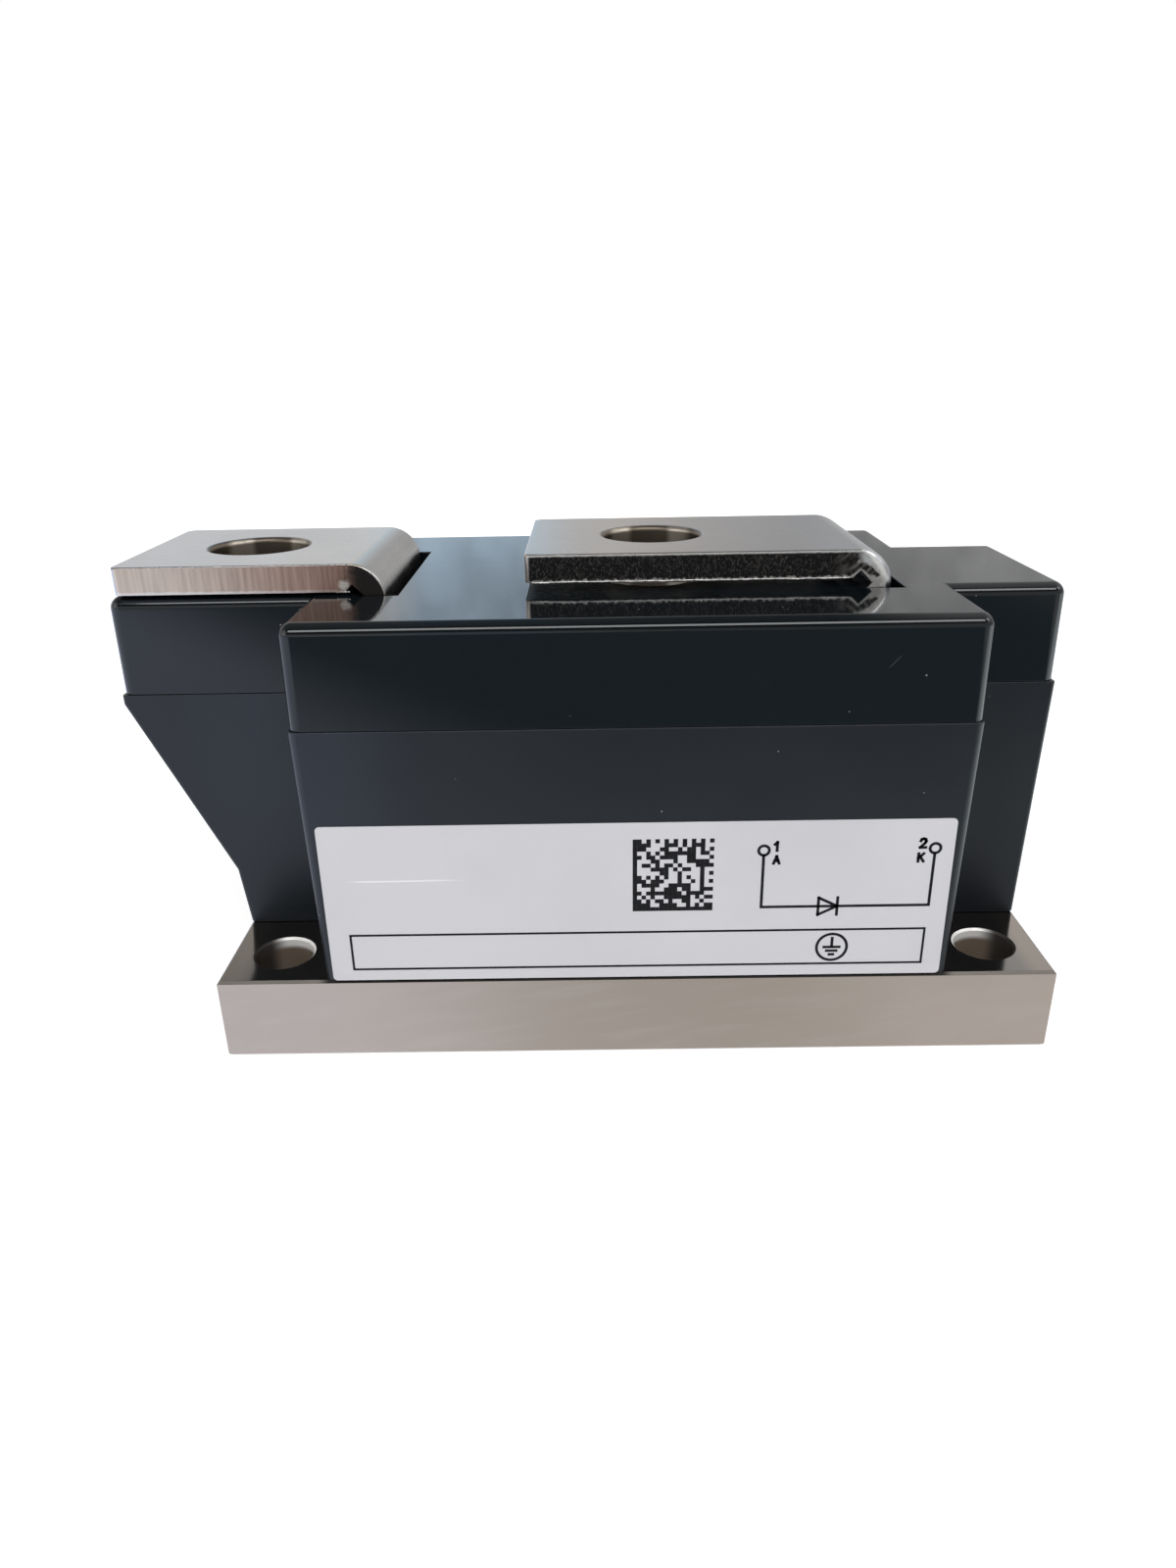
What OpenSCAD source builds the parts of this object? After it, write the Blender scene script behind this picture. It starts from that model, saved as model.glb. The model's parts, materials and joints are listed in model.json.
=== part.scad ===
// Power diode module with screw terminals and an isolated base plate.
// The diode wafer is clamped by disc springs between two bent copper terminals,
// inside a moulded frame with a lid that holds a captive nut under each terminal.
// Origin: centre of the base plate underside. +X along the plate, +Z up.

/* [Base plate] */
// Length of the base plate
plate_l = 92; // [88:1:100]
// Width of the base plate
plate_w = 50; // [48:1:56]
// Thickness of the base plate
plate_t = 9.8; // [8:0.1:14]
// Chamfer along the edges of the base plate
plate_chamfer = 0.3; // [0.1:0.1:0.8]
// Distance of the mounting holes from the plate ends
hole_edge_x = 6; // [5:0.5:7]
// Distance of the mounting holes from the plate sides
hole_edge_y = 6; // [5:0.5:7]
// Diameter of the mounting holes
hole_d = 6.5; // [5:0.1:7]
// Chamfer at the upper rim of the mounting holes
hole_chamfer = 0.25; // [0.1:0.05:0.5]

/* [Housing] */
// Length of the wide centre block at its foot
block_l = 67.8; // [64:0.2:69]
// Inset of the centre block's front and back from the sides of the base plate
side_inset = 0; // [0:0.1:0.5]
// Width of the narrow blocks at both ends
end_w = 23.8; // [23:0.2:26]
// Height of the frame from the plate to the seam
frame_h = 28.9; // [27:0.1:34]
// Height of the lid above the seam
lid_h = 10.85; // [10:0.05:14]
// Outward lean of the frame's end walls between foot and seam
frame_draft = 0.75; // [0.2:0.05:1]
// Inward lean of the lid walls between seam and top
lid_draft = 0.05; // [0.05:0.05:0.6]
// Step from the frame back to the lid at the seam
lid_step = 0.1; // [0.05:0.05:0.3]
// Overhang of the nose past the plate, at the seam
nose_overhang = 10.4; // [9:0.1:14]
// Height of the upright wall under the nose
nose_foot_h = 7; // [4:0.2:10]
// Height of the upright rim at the top of the nose
nose_rim_h = 1.1; // [0.9:0.1:3]
// Wall of the frame
frame_wall = 2.2; // [1.8:0.1:2.6]
// Thickness of the lid's top
lid_top_t = 2.6; // [2:0.1:3.4]
// Radius of the centre block's upright corners
corner_r = 1; // [0.6:0.1:1.4]
// Radius of the lid's upper edges and upright corners
lid_edge_r = 1.4; // [0.8:0.1:1.8]
// Radius of the upright corners of the frame's end blocks
end_corner_r = 0.5; // [0.3:0.1:1]
// Thickness of the lid's tongue inside the frame
tongue_t = 1.2; // [0.8:0.1:1.6]
// Clearance between the lid's tongue and the frame
seat_clear = 0.15; // [0.1:0.05:0.3]

/* [Terminals] */
// Thickness of the terminal strips
strip_t = 3; // [2.4:0.1:3.4]
// Width of the terminal strips
strip_w = 24.4; // [22:0.2:26]
// Outer radius of the bend over the lid
bend_r = 3.7; // [3.4:0.1:4.2]
// Outer radius of the bend at the foot, inside the housing
foot_r = 5; // [4.4:0.2:6]
// Depth of the bending groove across the inner face of a strip
groove_d = 0.8; // [0.5:0.05:1.1]
// Distance of the groove's two bottom edges inside the bend
groove_in = 0.2; // [0.1:0.05:0.4]
// Place of the anode leg: distance of its outer face from the middle, on the nose's side
anode_leg = 26; // [25:0.2:27]
// Length of the anode tab from the outer face of its leg
anode_l = 29; // [27:0.5:29.5]
// Distance of the anode hole from the outer face of its leg
anode_hole = 16.5; // [16:0.1:17]
// Gap between the lid and the anode tab
anode_gap = 0.3; // [0.2:0.05:1]
// Place of the cathode leg: distance of its outer face from the middle, on the other side
cathode_leg = 27.7; // [27:0.1:28.2]
// Length of the cathode tab from the outer face of its leg
cathode_l = 38.9; // [36:0.1:42]
// Distance of the cathode hole from the outer face of its leg
cathode_hole = 24.9; // [24:0.1:26]
// Gap between the lid and the cathode tab
cathode_gap = 0.95; // [0.2:0.05:1.2]
// Diameter of the terminal holes
tab_hole_d = 11; // [10.5:0.1:12]
// Radius of the rolled upper rim of the terminal holes
tab_hole_roll = 0.6; // [0.3:0.05:0.8]
// Radius of the free corners of the tabs
tab_corner_r = 0.8; // [0.3:0.1:2]
// Inset of the contact necks from the strip's edges
neck_inset = 2; // [1:0.5:4]
// Gap between a leg and its slot, on the inner face
slot_in = 0.3; // [0.2:0.05:0.6]
// Gap between a leg and its slot, on the outer face
slot_out = 1.3; // [0.5:0.1:1.8]
// Gap between a leg and its slot, at each end
slot_side = 0.4; // [0.3:0.1:1]

/* [Captive nuts] */
// Width of the nuts across their flats
nut_af = 16; // [15:0.5:17]
// Height of the nuts
nut_h = 8; // [7:0.2:8.6]
// Diameter of the threaded hole, at the thread's crest
nut_bore_d = 8.5; // [8:0.1:9]
// Clearance round the nuts in their pockets
nut_clear = 0.15; // [0.1:0.05:0.3]
// Depth of the nuts below the lid's top
nut_recess = 0.6; // [0.3:0.1:1]
// Wall round the pockets and the bolt wells
pocket_wall = 1.8; // [1.4:0.1:2.2]
// Diameter of the bolt wells under the nuts
well_d = 11.5; // [11:0.5:13]

/* [Contact stack] */
// Thickness of the ceramic insulator
ceramic_t = 1; // [0.6:0.1:2]
// Diameter of the diode wafer
wafer_d = 34; // [30:0.5:35]
// Thickness of the diode wafer
wafer_t = 0.5; // [0.3:0.05:0.8]
// Thickness of the lower molybdenum disc
lower_disc_t = 1.5; // [1:0.1:2.5]
// Thickness of the upper molybdenum disc
upper_disc_t = 1; // [0.8:0.1:2]
// Margin of bare wafer outside the upper disc
wafer_margin = 2; // [1:0.25:4]
// Radial thickness of the centring ring
ring_w = 1; // [0.6:0.1:1.6]
// Clearance between the wafer and the centring ring
ring_clear = 0.2; // [0.1:0.05:0.4]

/* [Clamp] */
// Outer diameter of the disc springs
spring_od = 31.5; // [28:0.5:34]
// Inner diameter of the disc springs
spring_id = 16.3; // [14:0.1:18]
// Thickness of the disc springs
spring_t = 1.5; // [1:0.1:1.8]
// Height of one clamped disc spring
spring_h = 2; // [1.9:0.05:2.6]
// Thickness of the thrust insulator's flange
thrust_t = 2.5; // [2:0.1:4]
// Margin of the thrust insulator's flange round the springs
thrust_margin = 0.5; // [0.2:0.1:1]
// Clearance of the thrust insulator's guide in springs and clamp
guide_clear = 0.25; // [0.15:0.05:0.4]
// Thickness of the clamp plate
clamp_t = 4.5; // [3.5:0.25:5.5]
// Width of the clamp plate's arms
arm_w = 9.2; // [8.6:0.2:10]
// Gap between the clamp plate's arms and the legs
arm_gap = 1; // [0.5:0.1:2]
// Diameter of the clamp screws
screw_d = 5; // [4:0.5:5]
// Diameter of the screw heads
screw_head_d = 8.5; // [7:0.5:8.5]
// Height of the screw heads
screw_head_h = 5; // [4:0.5:5]
// Width of the hexagon socket in the screw heads
socket_af = 4; // [3:0.5:4]
// Depth of the screws in the base plate
screw_grip = 7; // [5:0.5:7.5]
// Diametral clearance of the screws in their holes
screw_clear = 0.4; // [0.2:0.1:0.6]
// Thickness of the washers
washer_t = 1; // [0.6:0.1:1.6]
// Wall of the insulating sleeves
sleeve_wall = 0.9; // [0.6:0.1:1.2]
// Gap between the ceramic insulator and the sleeves
creep_gap = 1.2; // [0.8:0.1:2]

/* [Label] */
// Height of the label
label_h = 18.5; // [14:0.1:20]
// Thickness of the label
label_t = 0.12; // [0.08:0.02:0.3]
// Margin between the label and the sides of the centre block
label_margin = 0.9; // [0.4:0.1:3]
// Gap between the label and the base plate
label_lift = 0.15; // [0.05:0.05:1]
// Corner radius of the label
label_r = 0.5; // [0.3:0.1:2]

/* [Hidden] */
$fn = 64;
hull_fn = 32;
nose_fn = 12;
over = 1;
slab = 0.02;

// Heights of the housing
seam_z = plate_t + frame_h;
lid_z = seam_z + lid_h;
nose_rim_z = seam_z - nose_rim_h;
nose_foot_z = plate_t + nose_foot_h;
tongue_h = nose_rim_h - seat_clear;

// Width, half lengths and end positions of the housing
block_w = plate_w - 2 * side_inset;
plate_end = plate_l / 2;
block_foot_x = block_l / 2;
block_seam_x = block_foot_x + frame_draft;
right_seam_x = plate_end + frame_draft;
nose_x = plate_end + nose_overhang;

// Legs and tab holes
anode_x = -anode_leg;
cathode_x = cathode_leg;
anode_hole_x = anode_x - anode_hole;
cathode_hole_x = cathode_x - cathode_hole;
leg_free = cathode_x - strip_t - anode_x;
stack_x = anode_x + leg_free / 2;

// Levels of the contact stack, from the base plate up
anode_foot_z = plate_t + ceramic_t;
lower_disc_z = anode_foot_z + strip_t;
wafer_z = lower_disc_z + lower_disc_t;
upper_disc_z = wafer_z + wafer_t;
cathode_foot_z = upper_disc_z + upper_disc_t;
thrust_z = cathode_foot_z + strip_t;
spring_z = thrust_z + thrust_t;
clamp_z = spring_z + 2 * spring_h;
washer_z = clamp_z + clamp_t;
head_z = washer_z + washer_t;

// Diameters of the contact stack
contact_d = wafer_d + 2 * (ring_clear + ring_w);
upper_disc_d = wafer_d - 2 * wafer_margin;
thrust_d = max(upper_disc_d, spring_od) + 2 * thrust_margin;
guide_d = spring_id - 2 * guide_clear;
guide_hole_d = guide_d + 2 * guide_clear;

// Screw places: clear of the lid's tongue in Y and of the legs in X
sleeve_id = screw_d + screw_clear;
sleeve_od = sleeve_id + 2 * sleeve_wall;
head_gap = 0.3;
screw_y = block_w / 2 - frame_wall - seat_clear - tongue_t - screw_head_d / 2 - head_gap;
screw_x = leg_free / 2 - arm_gap - arm_w / 2;
screw_circle_r = norm([screw_x, screw_y]);
ceramic_d = 2 * (screw_circle_r - sleeve_od / 2 - creep_gap);

// Captive nuts and bolt wells
pocket_af = nut_af + 2 * nut_clear;
pocket_z = lid_z - nut_recess - nut_h;
well_gap = 2;
well_floor_z = washer_z + well_gap;

// Outline of a plate with rounded corners between two X positions
module rounded_plan(x0, x1, w, r) {
    for (x = [x0 + r, x1 - r], y = [r - w / 2, w / 2 - r])
        translate([x, y]) circle(r);
    translate([x0 + r, -w / 2]) square([x1 - x0 - 2 * r, w]);
    translate([x0, r - w / 2]) square([x1 - x0, w - 2 * r]);
}

// Block of the frame's height whose end wall leans through x[0] at height z[0] and x[1] at z[1].
// Its upright edges are rounded, and it reaches inwards from that wall and up from low.
module leaning_block(x, z, w, reach, r, low = plate_t) {
    lean = atan2(x[1] - x[0], z[1] - z[0]);
    far = x[0] > 0 ? -reach : reach;
    length = 4 * frame_h + 2 * reach;
    intersection() {
        translate([x[0], 0, z[0]]) rotate([0, lean, 0]) translate([0, 0, -length / 2])
            linear_extrude(length) rounded_plan(min(0, far), max(0, far), w, r);
        translate([-2 * reach, -w / 2, low]) cube([4 * reach, w, seam_z - low]);
    }
}

// Lid block with leaning walls and rounded top edges
module lid_block(x, w) {
    top_w = w - 2 * lid_draft;
    top_x = [x[0] + lid_draft, x[1] - lid_draft];
    hull() {
        translate([0, 0, seam_z]) linear_extrude(slab)
            rounded_plan(x[0], x[1], w, lid_edge_r, $fn = hull_fn);
        for (cx = [top_x[0] + lid_edge_r, top_x[1] - lid_edge_r], side = [-1, 1])
            translate([cx, side * (top_w / 2 - lid_edge_r), lid_z - lid_edge_r])
                sphere(lid_edge_r, $fn = hull_fn);
    }
}

// Plan of the hollow inside the frame at the seam, shrunk by an inset
module hollow_plan(inset) {
    edge = frame_wall + inset;
    translate([edge - block_foot_x, edge - block_w / 2])
        square([block_l - 2 * edge, block_w - 2 * edge]);
    translate([edge - nose_x, edge - end_w / 2])
        square([nose_x + plate_end - 2 * edge, end_w - 2 * edge]);
}

// Side profile of the nose hollow: upright foot, slope and upright rim
module nose_hollow_profile() {
    polygon([
        [0, plate_t - over],
        [frame_wall - plate_end, plate_t - over],
        [frame_wall - plate_end, plate_t],
        [frame_wall - plate_end, nose_foot_z],
        [frame_wall - nose_x, nose_rim_z],
        [frame_wall - nose_x, seam_z + over],
        [0, seam_z + over]
    ]);
}

// Hexagonal prism, flats towards the sides
module hexagon(af, h) {
    cylinder(d = af / cos(30), h = h, $fn = 6);
}

// Places something at each of the two captive nuts
module at_nuts() {
    for (x = [anode_hole_x, cathode_hole_x])
        translate([x, 0, 0]) children();
}

// Places something at each of the four clamp screws
module at_screws() {
    for (sx = [-1, 1], sy = [-1, 1])
        translate([stack_x + sx * screw_x, sy * screw_y, 0]) children();
}

// Plan of a plate with chamfered sides, along one axis
module chamfered_profile(l, h, c) {
    polygon([
        [c - l / 2, 0], [l / 2 - c, 0], [l / 2, c], [l / 2, h - c],
        [l / 2 - c, h], [c - l / 2, h], [-l / 2, h - c], [-l / 2, c]
    ]);
}

module base_plate() {
    color("silver") difference() {
        intersection() {
            translate([0, plate_w / 2, 0]) rotate([90, 0, 0])
                linear_extrude(plate_w) chamfered_profile(plate_l, plate_t, plate_chamfer);
            translate([-plate_l / 2, 0, 0]) rotate([90, 0, 90])
                linear_extrude(plate_l) chamfered_profile(plate_w, plate_t, plate_chamfer);
        }
        for (sx = [-1, 1], sy = [-1, 1])
            translate([sx * (plate_l / 2 - hole_edge_x), sy * (plate_w / 2 - hole_edge_y), 0]) {
                translate([0, 0, -over]) cylinder(d = hole_d, h = plate_t + 2 * over);
                translate([0, 0, plate_t - hole_chamfer])
                    cylinder(d1 = hole_d, d2 = hole_d + 4 * hole_chamfer, h = 2 * hole_chamfer);
            }
        at_screws()
            translate([0, 0, plate_t - screw_grip - screw_clear])
                cylinder(d = screw_d + screw_clear, h = screw_grip + screw_clear + over);
    }
}

module housing_frame() {
    frame_z = [plate_t, seam_z];
    knee_x = plate_end + frame_draft;
    color([0.18, 0.20, 0.22]) difference() {
        union() {
            intersection_for(side = [-1, 1])
                leaning_block(side * [block_foot_x, block_seam_x], frame_z, block_w, 2 * block_l, corner_r);
            leaning_block([plate_end, right_seam_x], frame_z, end_w, plate_end, end_corner_r);
            leaning_block([-plate_end, -knee_x], [plate_t, nose_foot_z], end_w, plate_end, end_corner_r,
                          $fn = nose_fn);
            intersection() {
                leaning_block([-knee_x, -nose_x], [nose_foot_z, nose_rim_z], end_w, 2 * plate_end,
                              end_corner_r, nose_foot_z - over, $fn = nose_fn);
                leaning_block([-nose_x, -nose_x], frame_z, end_w, nose_x, end_corner_r, $fn = nose_fn);
            }
        }
        translate([0, 0, plate_t - over]) linear_extrude(frame_h + 2 * over) intersection() {
            hollow_plan(0);
            translate([frame_wall - plate_end, -block_w / 2]) square([2 * plate_l, block_w]);
        }
        translate([0, end_w / 2 - frame_wall, 0]) rotate([90, 0, 0])
            linear_extrude(end_w - 2 * frame_wall) nose_hollow_profile();
    }
}

module housing_lid() {
    block_x = block_seam_x - lid_step;
    pocket_r = pocket_af / 2 / cos(30) + pocket_wall;
    well_r = well_d / 2 + pocket_wall;
    color([0.09, 0.10, 0.12]) difference() {
        union() {
            difference() {
                union() {
                    lid_block([-block_x, block_x], block_w - 2 * lid_step);
                    lid_block([-nose_x + lid_step, right_seam_x - lid_step], end_w - 2 * lid_step);
                    translate([0, 0, seam_z - tongue_h])
                        linear_extrude(tongue_h + slab) hollow_plan(seat_clear);
                }
                translate([0, 0, seam_z - tongue_h - over])
                    linear_extrude(tongue_h + lid_h - lid_top_t + over)
                        hollow_plan(seat_clear + tongue_t);
            }
            intersection() {
                translate([0, 0, well_floor_z])
                    linear_extrude(lid_z - lid_edge_r - well_floor_z) hollow_plan(seat_clear);
                at_nuts() {
                    translate([0, 0, pocket_z - pocket_wall])
                        cylinder(r = pocket_r, h = lid_z - pocket_z + pocket_wall);
                    translate([0, 0, well_floor_z]) cylinder(r = well_r, h = lid_z - well_floor_z);
                }
            }
        }
        at_nuts() {
            translate([0, 0, pocket_z]) hexagon(pocket_af, lid_z - pocket_z + over);
            translate([0, 0, well_floor_z + pocket_wall])
                cylinder(d = well_d, h = lid_z - well_floor_z);
        }
        for (leg_x = [anode_x, cathode_x])
            translate([leg_x - strip_t - slot_in, -strip_w / 2 - slot_side, lid_z - lid_top_t - over])
                cube([strip_t + slot_in + slot_out, strip_w + 2 * slot_side, lid_top_t + 2 * over]);
    }
}

module rating_label() {
    half = block_foot_x - label_margin;
    color("white") translate([0, -block_w / 2, plate_t + label_lift + label_h / 2])
        rotate([90, 0, 0]) linear_extrude(label_t) rounded_plan(-half, half, label_h, label_r);
}

// Quarter of a round bend between two radii, from angle 0 to 90 degrees
module quarter_bend(r_out, r_in) {
    intersection() {
        difference() {
            circle(r_out);
            circle(r_in);
        }
        square(r_out);
    }
}

// Side profile of a strip above the foot: tab to the left, bend, upright leg.
// A groove was cut across the inner face, and bending folded it to a notch with a slanted back.
// The origin is the corner of the leg's outer face and the tab's top.
module strip_profile(tab_l, leg_h) {
    inner = bend_r - strip_t;
    deep = inner + groove_d;
    foot = groove_d - groove_in;
    difference() {
        union() {
            translate([-bend_r, -bend_r]) intersection() {
                circle(bend_r);
                square(bend_r);
            }
            translate([-tab_l, -strip_t]) square([tab_l - bend_r, strip_t]);
            translate([-strip_t, -leg_h]) square([strip_t, leg_h - bend_r]);
        }
        translate([-bend_r, -bend_r]) polygon([
            [-foot, inner], [groove_in, deep], [deep, groove_in], [inner, -foot], [-foot, -foot]
        ]);
    }
}

// One terminal, made from one bent strip. The foot turns back under the tab
// when turn is -1 and away from it when turn is 1. Behind its bend it is cut to a neck,
// which ends in the round contact.
module terminal(leg_x, tab_l, hole, top_z, foot_z, foot_d, turn) {
    bend_x = turn > 0 ? leg_x - strip_t + foot_r : leg_x - foot_r;
    bend_z = foot_z + foot_r;
    neck_l = abs(stack_x - bend_x);
    difference() {
        union() {
            difference() {
                translate([0, strip_w / 2, 0]) rotate([90, 0, 0]) linear_extrude(strip_w) {
                    translate([leg_x, top_z]) strip_profile(tab_l, top_z - bend_z);
                    translate([bend_x, bend_z]) rotate(turn > 0 ? 180 : 270)
                        quarter_bend(foot_r, foot_r - strip_t);
                    translate([min(bend_x, stack_x), foot_z]) square([neck_l, strip_t]);
                }
                for (side = [-1, 1]) mirror([0, side > 0 ? 0 : 1, 0])
                    translate([turn > 0 ? bend_x : stack_x - over, strip_w / 2 - neck_inset, foot_z - over])
                        cube([neck_l + over, neck_inset + over, strip_t + 2 * over]);
            }
            translate([stack_x, 0, foot_z]) cylinder(d = foot_d, h = strip_t);
        }
        translate([leg_x - hole, 0, top_z]) tab_hole();
        for (side = [-1, 1])
            translate([leg_x - tab_l, side * strip_w / 2, top_z]) mirror([0, side > 0 ? 1 : 0, 0])
                corner_cut();
    }
}

// Punched terminal hole with its rolled upper rim, at the level of the tab's top
module tab_hole() {
    translate([0, 0, -strip_t - over]) cylinder(d = tab_hole_d, h = strip_t + 2 * over);
    rotate_extrude() difference() {
        translate([tab_hole_d / 2 - slab, -tab_hole_roll])
            square([tab_hole_roll + slab, tab_hole_roll + over]);
        translate([tab_hole_d / 2 + tab_hole_roll, -tab_hole_roll]) circle(tab_hole_roll);
    }
}

// Cut that rounds one free corner of a tab
module corner_cut() {
    translate([0, 0, -strip_t - over]) linear_extrude(strip_t + 2 * over) difference() {
        translate([-over, -over]) square(tab_corner_r + over);
        translate([tab_corner_r, tab_corner_r]) circle(tab_corner_r);
    }
}

module anode_terminal() {
    color("silver")
        terminal(anode_x, anode_l, anode_hole, lid_z + anode_gap + strip_t,
                 anode_foot_z, contact_d, 1);
}

module cathode_terminal() {
    color("silver")
        terminal(cathode_x, cathode_l, cathode_hole, lid_z + cathode_gap + strip_t,
                 cathode_foot_z, upper_disc_d, -1);
}

// Hexagon nut whose corners are turned off at both ends
module terminal_nuts() {
    corner_r_nut = nut_af / 2 / cos(30);
    turned = (corner_r_nut - nut_af / 2) * tan(30);
    color("silver") at_nuts() translate([0, 0, pocket_z]) difference() {
        intersection() {
            hexagon(nut_af, nut_h);
            rotate_extrude() polygon([
                [0, 0], [nut_af / 2, 0], [corner_r_nut, turned],
                [corner_r_nut, nut_h - turned], [nut_af / 2, nut_h], [0, nut_h]
            ]);
        }
        translate([0, 0, -over]) cylinder(d = nut_bore_d, h = nut_h + 2 * over);
    }
}

module ceramic_insulator() {
    side = block_w - 2 * (frame_wall + seat_clear);
    color("whitesmoke") translate([stack_x, 0, plate_t]) intersection() {
        cylinder(d = ceramic_d, h = ceramic_t);
        translate([-ceramic_d / 2, -side / 2, 0]) cube([ceramic_d, side, ceramic_t]);
    }
}

module lower_contact_disc() {
    color("dimgray") translate([stack_x, 0, lower_disc_z]) cylinder(d = wafer_d, h = lower_disc_t);
}

// Silicon wafer with a bevelled rim
module diode_wafer() {
    color("slategray") translate([stack_x, 0, wafer_z])
        cylinder(d1 = wafer_d, d2 = wafer_d - 2 * wafer_t, h = wafer_t);
}

module upper_contact_disc() {
    color("dimgray") translate([stack_x, 0, upper_disc_z])
        cylinder(d = upper_disc_d, h = upper_disc_t);
}

// Rubber ring that keeps the wafer and its lower disc centred on the anode foot
module centring_ring() {
    ring_h = lower_disc_t + wafer_t;
    color("ivory") translate([stack_x, 0, lower_disc_z]) difference() {
        cylinder(d = contact_d, h = ring_h);
        translate([0, 0, -over]) cylinder(d = wafer_d + 2 * ring_clear, h = ring_h + 2 * over);
    }
}

// Flanged insulator between the cathode foot and the springs, with a guide for the springs
module thrust_insulator() {
    guide_h = 2 * spring_h + clamp_t / 2;
    color("tan") translate([stack_x, 0, thrust_z]) {
        cylinder(d = thrust_d, h = thrust_t);
        cylinder(d = guide_d, h = thrust_t + guide_h);
    }
}

// One disc spring with flat contact edges, outer rim up
module disc_spring() {
    flat = 0.8;
    rotate_extrude() polygon([
        [spring_id / 2, 0], [spring_id / 2 + flat, 0], [spring_od / 2, spring_h - spring_t],
        [spring_od / 2, spring_h], [spring_od / 2 - flat, spring_h], [spring_id / 2, spring_t]
    ]);
}

module lower_disc_spring() {
    color("gray") translate([stack_x, 0, spring_z]) disc_spring();
}

module upper_disc_spring() {
    color("gray") translate([stack_x, 0, clamp_z]) mirror([0, 0, 1]) disc_spring();
}

// Four-armed clamp plate with a round centre
module clamp_plate() {
    arm_angle = atan2(screw_y, screw_x);
    color("gray") difference() {
        translate([0, 0, clamp_z]) linear_extrude(clamp_t) {
            translate([stack_x, 0]) {
                circle(d = spring_od);
                for (turn = [arm_angle, 180 - arm_angle, 180 + arm_angle, 360 - arm_angle])
                    rotate(turn) translate([0, -arm_w / 2]) square([screw_circle_r, arm_w]);
            }
            at_screws() circle(d = arm_w);
        }
        translate([stack_x, 0, clamp_z - over]) cylinder(d = guide_hole_d, h = clamp_t + 2 * over);
        at_screws() translate([0, 0, clamp_z - over])
            cylinder(d = screw_d + screw_clear, h = clamp_t + 2 * over);
    }
}

module screw_sleeves() {
    color("ivory") at_screws() translate([0, 0, plate_t]) difference() {
        cylinder(d = sleeve_od, h = clamp_z - plate_t);
        translate([0, 0, -over]) cylinder(d = sleeve_id, h = clamp_z - plate_t + 2 * over);
    }
}

module clamp_washers() {
    color("gray") at_screws() translate([0, 0, washer_z]) difference() {
        cylinder(d = screw_head_d, h = washer_t);
        translate([0, 0, -over]) cylinder(d = screw_d + screw_clear, h = washer_t + 2 * over);
    }
}

module clamp_screws() {
    tip_z = plate_t - screw_grip;
    socket_h = screw_head_h / 2;
    color("dimgray") at_screws() difference() {
        union() {
            translate([0, 0, tip_z]) cylinder(d = screw_d, h = head_z - tip_z + slab);
            translate([0, 0, head_z]) cylinder(d = screw_head_d, h = screw_head_h);
        }
        translate([0, 0, head_z + socket_h]) hexagon(socket_af, socket_h + over);
    }
}

base_plate();
housing_frame();
housing_lid();
rating_label();
anode_terminal();
cathode_terminal();
terminal_nuts();
ceramic_insulator();
lower_contact_disc();
diode_wafer();
upper_contact_disc();
centring_ring();
thrust_insulator();
lower_disc_spring();
upper_disc_spring();
clamp_plate();
screw_sleeves();
clamp_washers();
clamp_screws();
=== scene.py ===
"""Looks of a power diode module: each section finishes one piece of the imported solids."""
import json
from math import cos, pi, radians, sin

import bmesh
import bpy
from mathutils import Matrix, Vector


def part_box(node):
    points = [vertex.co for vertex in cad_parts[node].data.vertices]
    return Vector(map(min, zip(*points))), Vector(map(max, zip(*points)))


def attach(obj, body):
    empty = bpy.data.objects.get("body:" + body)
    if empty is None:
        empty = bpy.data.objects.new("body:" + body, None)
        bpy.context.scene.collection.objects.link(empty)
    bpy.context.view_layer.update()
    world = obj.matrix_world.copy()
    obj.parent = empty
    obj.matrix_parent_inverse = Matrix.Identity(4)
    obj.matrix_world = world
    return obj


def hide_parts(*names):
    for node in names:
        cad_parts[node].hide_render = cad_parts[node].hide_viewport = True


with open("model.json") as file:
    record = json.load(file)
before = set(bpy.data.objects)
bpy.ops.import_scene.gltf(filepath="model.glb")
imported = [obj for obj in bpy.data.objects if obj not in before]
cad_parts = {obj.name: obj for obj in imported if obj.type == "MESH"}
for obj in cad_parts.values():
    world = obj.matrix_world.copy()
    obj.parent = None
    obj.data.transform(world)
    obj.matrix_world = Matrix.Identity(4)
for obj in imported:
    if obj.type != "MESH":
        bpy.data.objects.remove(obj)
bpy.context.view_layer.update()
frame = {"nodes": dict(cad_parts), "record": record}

MM = 0.001


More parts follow.
